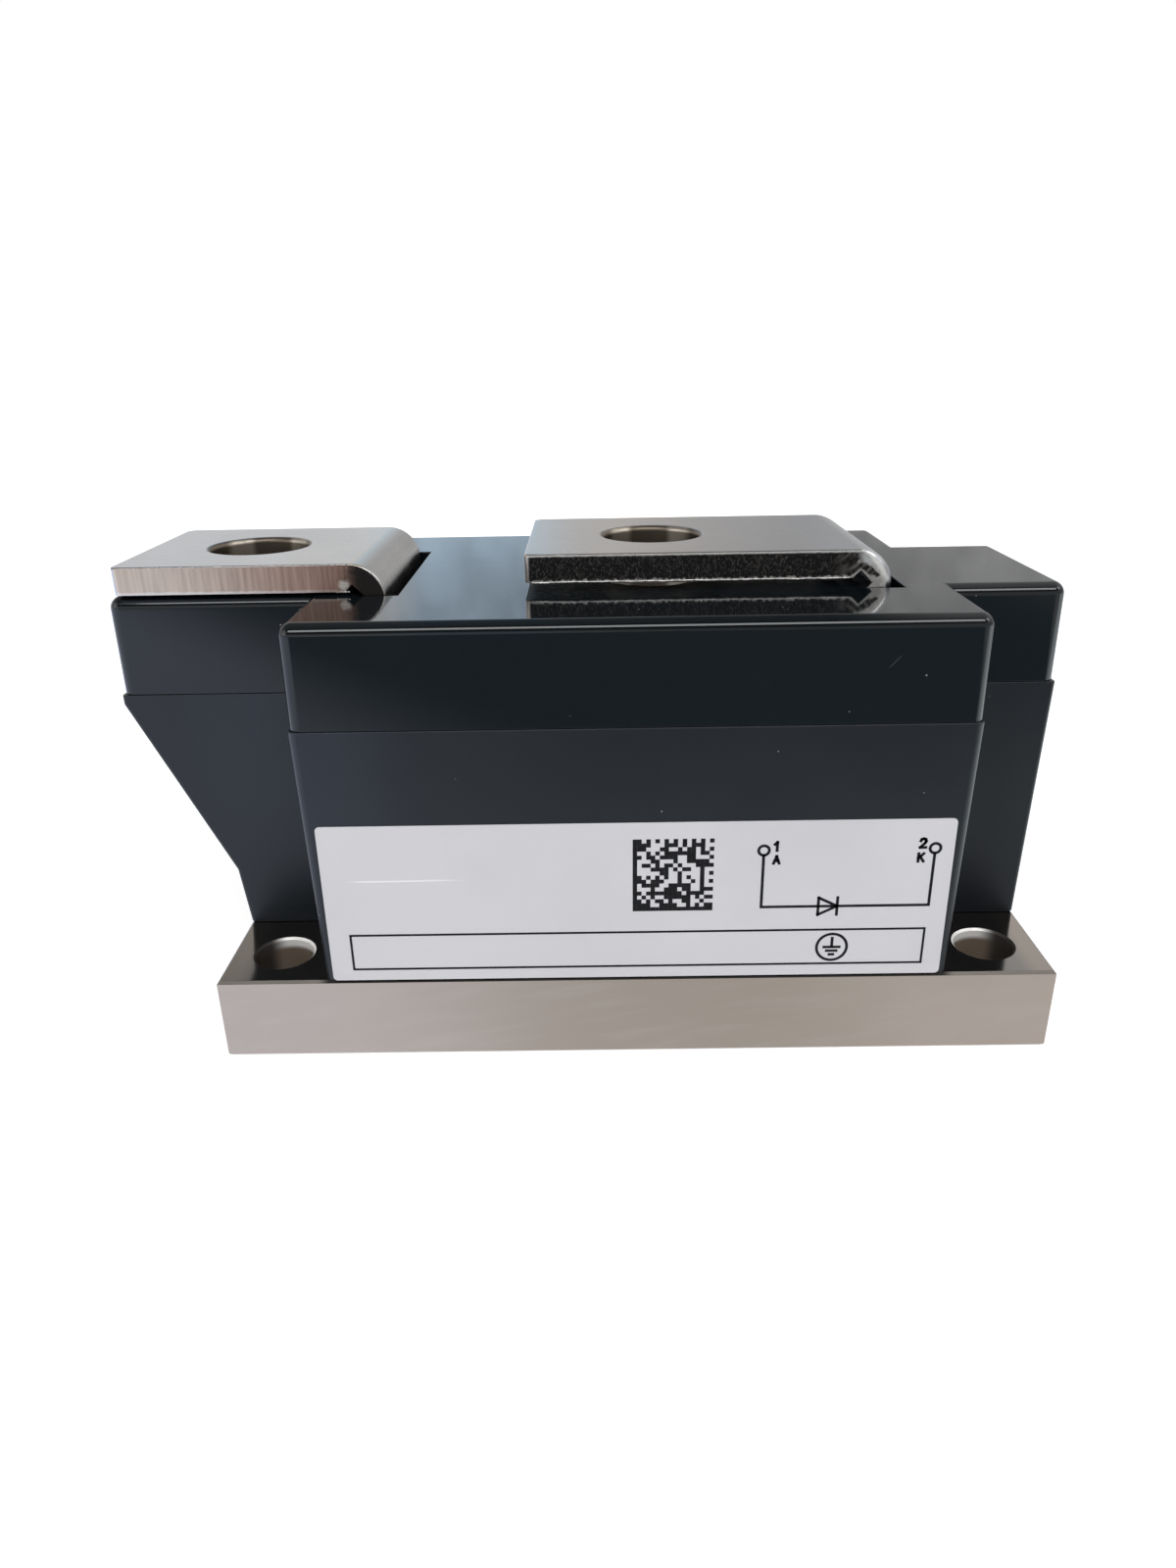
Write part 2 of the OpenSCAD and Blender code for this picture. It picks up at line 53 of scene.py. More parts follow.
# Base plate
# A thick copper plate, milled all round and plated with nickel. Its flanks keep a soft satin
# grain and faint milling lines, while the top is smooth enough to mirror the housing.
class Wire:
    """One output of a node. Arithmetic on wires adds Math nodes to the same tree."""

    def __init__(self, tree, socket=None):
        self.tree = tree
        self.socket = socket

    def node(self, kind, settings=(), inputs=(), output=0):
        """Adds any node: first its settings, then the values or wires of its sockets."""
        made = self.tree.nodes.new(kind)
        for name, value in dict(settings).items():
            setattr(made, name, value)
        for key, value in dict(inputs).items():
            if isinstance(value, Wire):
                self.tree.links.new(value.socket, made.inputs[key])
            else:
                made.inputs[key].default_value = value
        return Wire(self.tree, made.outputs[output] if made.outputs else None)

    def math(self, operation, first, second=0.0):
        return self.node("ShaderNodeMath", {"operation": operation}, {0: first, 1: second})

    def __add__(self, other):
        return self.math("ADD", self, other)

    __radd__ = __add__

    def __mul__(self, other):
        return self.math("MULTIPLY", self, other)

    __rmul__ = __mul__

    def __sub__(self, other):
        return self.math("SUBTRACT", self, other)

    def __rsub__(self, other):
        return self.math("SUBTRACT", other, self)

    def __abs__(self):
        return self.math("ABSOLUTE", self)

    def __lt__(self, other):
        return self.math("LESS_THAN", self, other)

    def __gt__(self, other):
        return self.math("GREATER_THAN", self, other)

    def between(self, low, high):
        """Goes smoothly from 0 at low to 1 at high."""
        return self.node("ShaderNodeMapRange", {"interpolation_type": "SMOOTHSTEP"},
                         {"Value": self, "From Min": low, "From Max": high})

    def place(self, stretch=(1, 1, 1), turn=(0, 0, 0)):
        """Object coordinates in metres, first turned, in degrees, and then stretched."""
        point = self.node("ShaderNodeTexCoord", output="Object")
        turned = self.node("ShaderNodeMapping", {}, {
            "Vector": point, "Rotation": [radians(angle) for angle in turn]})
        return self.node("ShaderNodeMapping", {}, {"Vector": turned, "Scale": stretch})

    def along(self, source, axis):
        """One axis of a vector: the object's own coordinates or its normal."""
        vector = self.node("ShaderNodeTexCoord", output=source)
        return self.node("ShaderNodeSeparateXYZ", {}, {"Vector": vector}, axis)

    def noise(self, scale, stretch=(1, 1, 1), turn=(0, 0, 0), detail=2.0):
        return self.node("ShaderNodeTexNoise", {}, {
            "Vector": self.place(stretch, turn), "Scale": scale, "Detail": detail})

    def mix(self, share, first, second):
        """Blends two colours."""
        return self.node("ShaderNodeMix", {"data_type": "RGBA"}, {0: share, 6: first, 7: second}, 2)

    def specks(self, scale, size, kept, stretch=(1, 1, 1), turn=(0, 0, 0)):
        """Mask of scattered specks, or of short scratches where it is stretched."""
        cells = {"Vector": self.place(stretch, turn), "Scale": scale}
        distance = self.node("ShaderNodeTexVoronoi", {}, cells, "Distance")
        chance = self.node("ShaderNodeTexVoronoi", {}, cells, "Color")
        drawn = self.node("ShaderNodeSeparateColor", {}, {"Color": chance}, "Red")
        return (distance < size) * (drawn < kept)

    def bump(self, height, depth, strength=1.0):
        return self.node("ShaderNodeBump", {}, {
            "Height": height, "Distance": depth, "Strength": strength})

    def surface(self, inputs):
        """Closes a material with the shader that has these inputs."""
        shader = self.node("ShaderNodeBsdfPrincipled", {}, inputs)
        self.node("ShaderNodeOutputMaterial", {}, {"Surface": shader})


def new_finish(name):
    finish = bpy.data.materials.new(name)
    finish.use_nodes = True
    finish.node_tree.nodes.clear()
    return finish, Wire(finish.node_tree)


def settle(piece, slot, *nodes):
    """Puts a finished piece on the part, in the place of the solids that it stands for."""
    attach(piece, "root")
    if nodes:
        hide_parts(*nodes)


def new_piece(name, mesh, finish):
    piece = bpy.data.objects.new(name, mesh)
    bpy.context.scene.collection.objects.link(piece)
    mesh.materials.clear()
    mesh.materials.append(finish)
    return piece


def evaluated_mesh(piece):
    """Turns what a piece's modifiers make into its plain mesh."""
    shown = piece.evaluated_get(bpy.context.evaluated_depsgraph_get())
    mesh = bpy.data.meshes.new_from_object(shown)
    piece.modifiers.clear()
    piece.data = mesh


def finished_copy(node, name, finish, edge_radius, form=None, left_sharp=None):
    """Copies a solid, merges its triangles, drops slivers, breaks the sharp edges and keeps the
    flats flat. form may shape the merged copy, and left_sharp tells which edges stay sharp."""
    merge_distance = 0.001 * MM
    flat_angle = radians(0.4)
    sharp_angle = radians(24)
    mesh = frame["nodes"][node].data.copy()
    builder = bmesh.new()
    builder.from_mesh(mesh)
    bmesh.ops.remove_doubles(builder, verts=builder.verts, dist=merge_distance)
    bmesh.ops.dissolve_degenerate(builder, edges=builder.edges, dist=merge_distance)
    bmesh.ops.dissolve_limit(builder, angle_limit=flat_angle, verts=builder.verts, edges=builder.edges)
    if form:
        form(builder)
    weight = builder.edges.layers.float.new("bevel_weight_edge")
    for edge in builder.edges:
        if len(edge.link_faces) == 2 and edge.calc_face_angle() > sharp_angle:
            if left_sharp and left_sharp(edge):
                edge.smooth = False
            else:
                edge[weight] = 1.0
    for face in builder.faces:
        face.smooth = True
        face.material_index = 0
    builder.to_mesh(mesh)
    builder.free()
    piece = new_piece(name, mesh, finish)
    bevel = piece.modifiers.new("broken_edges", "BEVEL")
    bevel.limit_method = "WEIGHT"
    bevel.width = edge_radius
    bevel.segments = 3
    bevel.use_clamp_overlap = False
    flats = piece.modifiers.new("flat_faces", "WEIGHTED_NORMAL")
    flats.weight = 100
    flats.keep_sharp = True
    evaluated_mesh(piece)
    return piece


PLATE_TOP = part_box("base_plate")[1].z
mounts = {mount["name"]: mount for mount in frame["record"]["mounts"]}
hole_pattern = mounts["mounting_holes"]["dims"]
HOLE_PLACE = (hole_pattern["spacing_x_mm"] * MM / 2, hole_pattern["spacing_y_mm"] * MM / 2)
HOLE_REACH = hole_pattern["hole_r_mm"] * MM + 0.25 * MM


def plate_nickel():
    """Warm satin nickel with faint slanted milling lines. The flanks are browner in the middle, a
    painted darker reflection, and the broken edges are painted dark as shade, nearly black under
    the housing as painted shadow. The top is darker beside the housing, a painted reflection of the
    dark housing. The holes' walls are matte: just below the top a painted highlight on the side
    towards the middle and painted shade on the other side, deeper down brown with painted shade
    towards both sides."""
    finish, wires = new_finish("plate_nickel")
    x = wires.along("Object", "X")
    rise = wires.along("Normal", "Z")
    top = rise.between(0.85, 0.97)
    edge = rise.between(0.3, 0.5) * rise.between(0.95, 0.85)
    depth = PLATE_TOP - wires.along("Object", "Z")
    mottle = wires.noise(55.0, stretch=(1, 1, 1.5), turn=(0, 20, 0), detail=4.0).between(0.32, 0.68)
    lines = wires.noise(80.0, stretch=(1, 1, 8), turn=(0, 10, 0), detail=3.0)
    grain = wires.noise(4200.0)
    hole_x = abs(x) - HOLE_PLACE[0]
    hole_y = abs(wires.along("Object", "Y")) - HOLE_PLACE[1]
    in_hole = (hole_x * hole_x + hole_y * hole_y) < HOLE_REACH * HOLE_REACH
    tone = wires.mix(mottle, (0.536, 0.456, 0.397, 1), (0.584, 0.500, 0.439, 1))
    # Painted darker reflection: the flanks are browner and darker in the middle.
    middle = x.between(-32 * MM, -4 * MM) * x.between(34 * MM, 12 * MM)
    darkened = wires.mix(middle, tone, (0.470, 0.400, 0.336, 1))
    milled = wires.mix(lines.between(0.45, 0.75) * 0.15, darkened, (0.68, 0.62, 0.57, 1))
    # Painted shade on the broken top edges, nearly black as shadow under the housing.
    under_housing = abs(x).between(35 * MM, 33.5 * MM)
    broken = wires.mix(under_housing, (0.11, 0.10, 0.09, 1), (0.015, 0.014, 0.013, 1))
    edges_shaded = wires.mix(edge, milled, broken)
    # Painted light in the holes: a highlight high up towards the middle, shade at the sides.
    to_sides = abs(hole_x + 0.3 * MM).between(1.5 * MM, 2.9 * MM)
    shaded_hole_wall = wires.mix(to_sides, (0.215, 0.165, 0.125, 1), (0.05, 0.042, 0.036, 1))
    rim = wires.mix(hole_x.between(0.4 * MM, 2.4 * MM), (0.98, 0.96, 0.93, 1), (0.06, 0.054, 0.05, 1))
    walls = wires.mix(depth.between(0.8 * MM, 1.5 * MM), rim, shaded_hole_wall)
    sides = wires.mix(in_hole * (1 - top), edges_shaded, walls)
    # Painted darker reflection of the housing on the top beside it.
    beside_housing = abs(x).between(44.5 * MM, 42 * MM)
    polished = wires.mix(beside_housing, (0.296, 0.260, 0.228, 1), (0.210, 0.198, 0.188, 1))
    rough = 0.34 + 0.06 * lines + 0.05 * mottle
    wires.surface({
        "Base Color": wires.mix(top, sides, polished),
        "Metallic": 1 - 0.8 * in_hole * (1 - top),
        "Roughness": rough * (1 - top) + 0.11 * top,
        "Normal": wires.bump(grain + lines * 0.5, 0.0015 * MM)})
    return finish


base_plate = finished_copy("base_plate", "milled_base_plate", plate_nickel(), edge_radius=0.03 * MM)
settle(base_plate, "nickel_plate", "base_plate")


# Contact stack and clamp
# Sealed inside the housing: ceramic and rubber insulators, lapped molybdenum and silicon
# discs, and blackened spring steel, clamped down to the plate by four screws.
def inner_finish(name, light, dark, metallic, roughness, grain_scale):
    """A slightly clouded colour with a fine grain."""
    finish, wires = new_finish(name)
    cloud = wires.noise(90.0, detail=3.0).between(0.3, 0.7)
    grain = wires.noise(grain_scale)
    wires.surface({
        "Base Color": wires.mix(cloud, dark, light), "Metallic": metallic,
        "Roughness": roughness + 0.12 * grain - 0.06,
        "Normal": wires.bump(grain, 0.01 * MM, 0.2)})
    return finish


zinc_plating = inner_finish(
    "zinc_plating", (0.24, 0.235, 0.225, 1), (0.17, 0.165, 0.16, 1), 1.0, 0.40, 2100.0)
inner_pieces = (
    (inner_finish("lapped_ceramic", (0.80, 0.79, 0.76, 1), (0.72, 0.71, 0.68, 1), 0.0, 0.45, 1500.0),
     ("ceramic_insulator",)),
    (inner_finish("lapped_molybdenum", (0.48, 0.48, 0.50, 1), (0.40, 0.40, 0.42, 1), 1.0, 0.30, 2600.0),
     ("lower_contact_disc", "upper_contact_disc")),
    (inner_finish("polished_silicon", (0.30, 0.32, 0.37, 1), (0.26, 0.28, 0.32, 1), 1.0, 0.10, 900.0),
     ("diode_wafer",)),
    (inner_finish("pale_rubber", (0.70, 0.68, 0.62, 1), (0.62, 0.60, 0.54, 1), 0.0, 0.62, 1900.0),
     ("centring_ring",)),
    (inner_finish("amber_insulation", (0.62, 0.53, 0.38, 1), (0.54, 0.45, 0.31, 1), 0.0, 0.48, 1700.0),
     ("thrust_insulator", "screw_sleeves")),
    (inner_finish("blackened_steel", (0.22, 0.22, 0.23, 1), (0.14, 0.14, 0.15, 1), 1.0, 0.42, 2300.0),
     ("lower_disc_spring", "upper_disc_spring", "clamp_plate", "clamp_screws")),
    (zinc_plating, ("clamp_washers",)),
)
for inner, nodes in inner_pieces:
    for node in nodes:
        for material_slot in frame["nodes"][node].material_slots:
            material_slot.material = inner


# Terminals
# Two copper strips, blanked from sheet, nickel plated and bent over the lid. The punch rolled
# their upper edges over. The anode's flanks are cleanly sheared, the cathode's are torn.
STRIP_THICKNESS = 3.0 * MM
STRIP_HALF_WIDTH = 12.2 * MM
BEND_RADIUS = 3.7 * MM
CORNER_RADIUS = 0.8 * MM
HOLE_TO_END = {"anode": 12.5 * MM, "cathode": 14.0 * MM}
HOLE_TO_BEND = {"anode": 12.8 * MM, "cathode": 21.2 * MM}
HOLE_X = {name: mounts[name + "_hole"]["pos_m"][0] for name in ("anode", "cathode")}
TAB_TOP = {name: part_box(name + "_terminal")[1].z for name in HOLE_X}
TAB_LEFT = {name: HOLE_X[name] - HOLE_TO_END[name] for name in HOLE_X}
BEND_X = {name: HOLE_X[name] + HOLE_TO_BEND[name] for name in HOLE_X}
# Tones of the nickel at a tab's end, before its bend and where the bend begins. Their changes
# are a painted reflection, standing in for what the glossy tab mirrors along its length.
STRIP_TONES = {"anode": ((0.420, 0.438, 0.468, 1), (0.496, 0.484, 0.474, 1), (0.600, 0.500, 0.390, 1)),
           "cathode": ((0.570, 0.512, 0.466, 1), (0.498, 0.510, 0.532, 1), (0.530, 0.538, 0.552, 1))}


def rolled_strip(name, tab_roll, bend_roll):
    """Gives a function that rolls the outer edges of a strip: the tab's by one radius, and
    gradually more over the bend."""
    bend_x, bend_z, left = BEND_X[name], TAB_TOP[name] - BEND_RADIUS, TAB_LEFT[name]
    # Shares of the roll at which the strip is cut first, so that the roll has points to move.
    cut_shares = (0.8, 0.62, 0.46, 0.32, 0.2, 0.1, 0.03)
    cut_tolerance = 0.001 * MM
    level_tolerance = 0.01 * MM
    # Sine of the angle round the bend from which the roll has its larger radius.
    full_roll = 0.75
    corner_x, corner_y = left + CORNER_RADIUS, STRIP_HALF_WIDTH - CORNER_RADIUS

    def cut(builder, place, direction):
        everything = builder.verts[:] + builder.edges[:] + builder.faces[:]
        bmesh.ops.bisect_plane(
            builder, geom=everything, plane_co=place, plane_no=direction, dist=cut_tolerance)

    def roll(builder):
        for share in cut_shares:
            for side in (-1, 1):
                cut(builder, (0, side * (STRIP_HALF_WIDTH - share * bend_roll), 0), (0, 1, 0))
            cut(builder, (left + share * tab_roll, 0, 0), (1, 0, 0))
        cut(builder, (corner_x, 0, 0), (1, 0, 0))
        for side in (-1, 1):
            cut(builder, (0, side * (STRIP_HALF_WIDTH - bend_roll), 0), (0, 1, 0))
            cut(builder, (0, side * corner_y, 0), (0, 1, 0))
        for vertex in builder.verts:
            x, y, z = vertex.co
            across = Vector((max(0.0, x - bend_x), 0, max(0.0, z - bend_z)))
            reach = across.length
            if reach < BEND_RADIUS - bend_roll or z < bend_z - level_tolerance:
                continue
            turned = min(1.0, across.x / reach / full_roll)
            roll_radius = tab_roll + (bend_roll - tab_roll) * turned * turned * (3 - 2 * turned)
            past_side = abs(y) - (STRIP_HALF_WIDTH - roll_radius)
            past_end = left + roll_radius - x
            corner = Vector((corner_x - x, abs(y) - corner_y))
            if corner.x > 0 and corner.y > 0:
                past = corner.length - CORNER_RADIUS + roll_radius
            else:
                past = max(past_side, past_end)
            past = min(max(past, 0.0), roll_radius)
            allowed = BEND_RADIUS - roll_radius + (roll_radius ** 2 - past ** 2) ** 0.5
            if reach > allowed:
                vertex.co -= across * (1 - allowed / reach)

    return roll


def on_hole_rim(edge):
    """The rims of the holes are round already."""
    rim_reach = 6.8 * MM
    middle = (edge.verts[0].co + edge.verts[1].co) / 2
    return any((middle.xy - Vector((hole_x, 0))).length < rim_reach for hole_x in HOLE_X.values())


GROOVE_SHIFT = 0.2 * MM
GROOVE_DEPTH = STRIP_THICKNESS + 0.2 * MM
GROOVE_REACH = 1.9 * MM
GROOVE_FLATNESS = 1.25


def from_groove(past_bend, depth):
    """How far a point is from the middle of the bending groove, which lies under the start of
    the bend. Equal distances form a diamond."""
    return abs(past_bend - GROOVE_SHIFT) + GROOVE_FLATNESS * abs(depth - GROOVE_DEPTH)


def strip_nickel(name, flank_finish):
    """Satin nickel on the broad faces, whose tone changes along the tab and at the start of the bend
    as a painted reflection. In the hole it has painted reflections, dark brown with lighter areas
    at its sides, and in the bending groove it is painted nearly black as shade.
    flank_finish(wires) gives the flanks' colour, roughness and height."""
    hole_reach = 6.2 * MM
    fade_start = TAB_LEFT[name] + 9 * MM - BEND_X[name]
    finish, wires = new_finish(name + "_nickel")
    faces_side = abs(wires.along("Normal", "Y")).between(0.80, 0.97)
    stain = wires.noise(70.0, detail=3.0).between(0.35, 0.68)
    grain = wires.noise(3800.0)
    rolling = wires.noise(200.0, stretch=(1, 14, 1), detail=3.0)
    hole_x = wires.along("Object", "X") - HOLE_X[name]
    hole_y = wires.along("Object", "Y")
    depth = TAB_TOP[name] - wires.along("Object", "Z")
    in_hole = (hole_x * hole_x + hole_y * hole_y) < hole_reach * hole_reach
    shaded_hole_wall = in_hole * depth.between(0.01 * MM, 0.10 * MM)
    # Painted reflection: the tone changes along the tab and where the bend starts.
    at_end, before_bend, at_bend = STRIP_TONES[name]
    past_bend = wires.along("Object", "X") - BEND_X[name]
    tab_tone = wires.mix(past_bend.between(fade_start, 0), at_end, before_bend)
    bend_start = past_bend.between(-0.3 * MM, 0.4 * MM) * past_bend.between(1.7 * MM, 0.8 * MM)
    plating_and_reflection = wires.mix(stain * 0.2, wires.mix(bend_start, tab_tone, at_bend), (0.75, 0.745, 0.735, 1))
    # Painted reflections in the hole: dark brown, lighter at its sides.
    patches = abs(hole_x).between(1.9 * MM, 2.7 * MM) * abs(hole_x).between(4.9 * MM, 4.1 * MM)
    hole_wall = wires.mix(patches, (0.17, 0.14, 0.11, 1), (0.50, 0.45, 0.38, 1))
    pierced = wires.mix(shaded_hole_wall, plating_and_reflection, hole_wall)
    # Painted shade: the broad faces are nearly black in the bending groove.
    in_groove = from_groove(past_bend, depth) < GROOVE_REACH
    broad = wires.mix(in_groove, pierced, (0.010, 0.010, 0.010, 1))
    broad_rough = 0.20 + 0.07 * rolling + 0.05 * stain + 0.12 * shaded_hole_wall
    color, rough, height = flank_finish(wires)
    flank = faces_side * (1 - in_hole)
    wires.surface({
        "Base Color": wires.mix(flank, broad, color), "Metallic": 1.0,
        "Roughness": broad_rough * (1 - flank) + rough * flank,
        "Normal": wires.bump(0.12 * grain * (1 - flank) + height * flank, 0.05 * MM, 0.5)})
    return finish


def sheared_flank(wires):
    """Bright shear with fine upright streaks and a bright lower lip. It browns towards the bend,
    which is painted nearly black as shade, with a nicked spot beside it whose glint is painted."""
    x = wires.along("Object", "X")
    depth = TAB_TOP["anode"] - wires.along("Object", "Z")
    streak = wires.noise(2300.0, stretch=(1, 1, 0.05), detail=4.0).between(0.25, 0.75)
    crumbs = wires.noise(1800.0, detail=3.0)
    darkened = x.between(TAB_LEFT["anode"] + 3 * MM, BEND_X["anode"] - 1 * MM)
    pale = wires.mix(streak, (0.57, 0.460, 0.377, 1), (0.715, 0.602, 0.502, 1))
    brown = wires.mix(streak, (0.295, 0.171, 0.127, 1), (0.445, 0.293, 0.231, 1))
    lip = (depth + crumbs * 0.4 * MM).between(STRIP_THICKNESS - 0.2 * MM, STRIP_THICKNESS)
    shear = wires.mix(lip * (1 - darkened * 0.7), wires.mix(darkened, pale, brown), (0.80, 0.74, 0.68, 1))
    # Painted shade: the flank is nearly black at the bend.
    blotched = x + crumbs * 1.4 * MM
    bend_shade = blotched.between(BEND_X["anode"] - 0.4 * MM, BEND_X["anode"] + 1.6 * MM)
    # Painted glint on a nicked spot beside the bend.
    nick_x = x - BEND_X["anode"] + 0.65 * MM
    nick_z = depth - 2.25 * MM
    nick_reach = nick_x * nick_x + nick_z * nick_z + crumbs * 0.8 * MM * MM
    nick_glint = nick_reach.between(0.95 * MM * MM, 0.25 * MM * MM)
    overlaid = wires.mix(bend_shade, shear, (0.040, 0.034, 0.032, 1))
    color = wires.mix(nick_glint, overlaid, (0.92, 0.86, 0.78, 1))
    rough = 0.36 + 0.2 * streak
    height = streak * 0.3 + nick_glint * crumbs
    return color, rough, height


def torn_flank(wires):
    """Dark torn metal with fine bright grains and slanted streaks at the bend, both painted glints.
    Bright ragged bands along the lower edge, along the top edge, over the bend and round the
    bending groove are painted highlights; the one over the bend is a burnish painted brighter."""
    x = wires.along("Object", "X")
    depth = TAB_TOP["cathode"] - wires.along("Object", "Z")
    crumbs = wires.noise(2600.0, detail=4.0)
    ragged = crumbs * 0.9 * MM
    # Painted glints: fine bright grains, and slanted streaks near the bend.
    upright = wires.noise(8500.0, stretch=(1, 1, 0.4), detail=3.0).between(0.48, 0.72)
    streaks = wires.noise(2900.0, stretch=(1, 1, 0.16), turn=(0, -45, 0), detail=3.0)
    slanted = streaks.between(0.42, 0.62)
    near_bend = x.between(BEND_X["cathode"] - 3.5 * MM, BEND_X["cathode"] + 0.5 * MM)
    glints = wires.math("MAXIMUM", upright * 0.5, slanted * near_bend)
    # Painted highlights: bright ragged bands along the edges, round the groove and over the bend.
    lower_band = (depth + ragged).between(STRIP_THICKNESS + 0.1 * MM, STRIP_THICKNESS + 0.35 * MM)
    past_bend = x - BEND_X["cathode"]
    over_centre = BEND_RADIUS - depth
    outwards = wires.math("SQRT", past_bend * past_bend + over_centre * over_centre)
    outer_band = (outwards + ragged).between(2.65 * MM, 3.1 * MM)
    burnish_highlight = outer_band * (past_bend + ragged).between(0, 1.5 * MM)
    upper_band = (depth - ragged * 0.2).between(0.26 * MM, 0.12 * MM)
    to_groove = from_groove(past_bend, depth) + ragged * 0.5
    groove_lip = to_groove.between(GROOVE_REACH + 0.05 * MM, GROOVE_REACH - 0.25 * MM)
    bands = wires.math("MAXIMUM", lower_band, upper_band * 0.8)
    bright = wires.math("MAXIMUM", wires.math("MAXIMUM", bands, burnish_highlight), groove_lip)
    dark = wires.mix(glints, (0.022, 0.021, 0.021, 1), (0.25, 0.23, 0.21, 1))
    banded = wires.mix(bright, dark, (0.74, 0.71, 0.67, 1))
    color = wires.mix(burnish_highlight, banded, (0.97, 0.95, 0.92, 1))
    rough = 0.55 - 0.2 * bright
    return color, rough, crumbs


for name, flank_finish, tab_roll, bend_roll in (
        ("anode", sheared_flank, 0.18 * MM, 0.25 * MM), ("cathode", torn_flank, 0.20 * MM, 1.1 * MM)):
    strip = finished_copy(
        name + "_terminal", name + "_strip", strip_nickel(name, flank_finish), edge_radius=0.07 * MM,
        form=rolled_strip(name, tab_roll, bend_roll), left_sharp=on_hole_rim)
    settle(strip, "nickel_strip", name + "_terminal")


# Housing frame
# One dark moulding of filled thermoset: a wide centre block, narrow end blocks and the sloped
# nose. It is glued to the plate, and its faces have the soft sheen of a textured mould.
def frame_moulding():
    """Blue-black plastic with dust and a few slanted scuffs. The upper part of the nose's side is
    paler with a painted sheen, and the right end is deeper and darker with painted shade."""
    finish, wires = new_finish("frame_moulding")
    cloud = wires.noise(36.0, detail=3.0).between(0.3, 0.7)
    grain = wires.noise(2600.0, detail=3.0)
    dust = wires.specks(380.0, size=0.032, kept=0.4)
    scuff = wires.specks(60.0, size=0.05, kept=0.10, stretch=(1, 1, 18), turn=(0, 62, 0))
    tone = wires.mix(cloud, (0.0080, 0.0110, 0.0150, 1), (0.0108, 0.0143, 0.0190, 1))
    x = wires.along("Object", "X")
    # Painted sheen: the upper part of the nose's side is paler.
    pale_patch = x.between(-53 * MM, -41 * MM) * x.between(-20 * MM, -31 * MM)
    upper = wires.along("Object", "Z").between(14 * MM, 30 * MM)
    painted_sheen = wires.mix(pale_patch * upper, tone, (0.0160, 0.0200, 0.0300, 1))
    # Painted shade: the right end is darker.
    right_end_shaded = wires.mix(x.between(34 * MM, 42 * MM), painted_sheen, (0.0008, 0.0030, 0.0065, 1))
    overlaid = wires.mix(scuff * 0.25, right_end_shaded, (0.10, 0.11, 0.12, 1))
    wires.surface({
        "Base Color": wires.mix(dust, overlaid, (0.30, 0.31, 0.32, 1)), "IOR": 1.45,
        "Roughness": 0.32 + 0.08 * grain + 0.05 * cloud,
        "Normal": wires.bump(grain, 0.012 * MM, 0.35)})
    return finish


housing_frame = finished_copy("housing_frame", "moulded_frame", frame_moulding(), edge_radius=0.14 * MM)
settle(housing_frame, "frame_plastic", "housing_frame")


# Captive nuts
# Zinc plated hexagon nuts that lie loose in the lid's pockets, under the terminal tabs. The
# pockets keep them from turning when a terminal screw is driven in.
nuts = finished_copy("terminal_nuts", "captive_nuts", zinc_plating, edge_radius=0.15 * MM)
settle(nuts, "zinc_steel", "terminal_nuts")


# Housing lid
# The cap of the housing, moulded in a polished mould. Its glossy top mirrors the terminals,
# and the light runs along its rounded edges. Dust and fine scratches lie on it.
def lid_moulding():
    finish, wires = new_finish("lid_moulding")
    wave = wires.noise(85.0, stretch=(1, 2.2, 1))
    pale_patch = wires.noise(30.0, detail=3.0).between(0.35, 0.75)
    dust = wires.specks(440.0, size=0.036, kept=0.5)
    scratch = wires.specks(60.0, size=0.06, kept=0.12, stretch=(1, 1, 20), turn=(0, 48, 0))
    tone = wires.mix(pale_patch, (0.0042, 0.0064, 0.0080, 1), (0.0057, 0.0080, 0.0098, 1))
    overlaid = wires.mix(scratch * 0.35, tone, (0.12, 0.13, 0.14, 1))
    wires.surface({
        "Base Color": wires.mix(dust, overlaid, (0.32, 0.33, 0.34, 1)), "IOR": 1.47,
        "Roughness": 0.05 + 0.05 * pale_patch + 0.3 * dust,
        "Normal": wires.bump(wave, 0.02 * MM, 0.3)})
    return finish


housing_lid = finished_copy("housing_lid", "moulded_lid", lid_moulding(), edge_radius=0.12 * MM)
settle(housing_lid, "lid_plastic", "housing_lid")


# Rating label
# A white film label, stuck to the front of the frame. Its print is generic: the diode's
# circuit with its terminals, an earth mark in an empty frame and a chance pattern of blocks.
def label_film():
    """White film, faintly clouded, with one rubbed line in its left half."""
    scuff_height = 21.95 * MM
    finish, wires = new_finish("label_film")
    cloud = wires.noise(60.0, detail=3.0).between(0.3, 0.7)
    grain = wires.noise(1800.0)
    scuff_x = wires.along("Object", "X")
    scuff_z = wires.along("Object", "Z") - scuff_height - wires.noise(120.0) * 0.3 * MM
    scuff = (abs(scuff_z).between(0.14 * MM, 0.05 * MM) * scuff_x.between(-30.8 * MM, -28 * MM)
             * scuff_x.between(-17 * MM, -22 * MM))
    paper = wires.mix(cloud, (0.637, 0.632, 0.664, 1), (0.671, 0.666, 0.698, 1))
    wires.surface({
        "Base Color": wires.mix(scuff, paper, (0.86, 0.86, 0.87, 1)),
        "Roughness": 0.36 + 0.08 * grain, "Normal": wires.bump(grain, 0.008 * MM, 0.25)})
    return finish


def label_ink():
    finish, wires = new_finish("label_ink")
    wear = wires.noise(1400.0, detail=3.0).between(0.35, 0.8)
    wires.surface({
        "Base Color": wires.mix(wear, (0.006, 0.006, 0.008, 1), (0.016, 0.016, 0.019, 1)),
        "Roughness": 0.55 + 0.1 * wear, "Specular IOR Level": 0.2})
    return finish


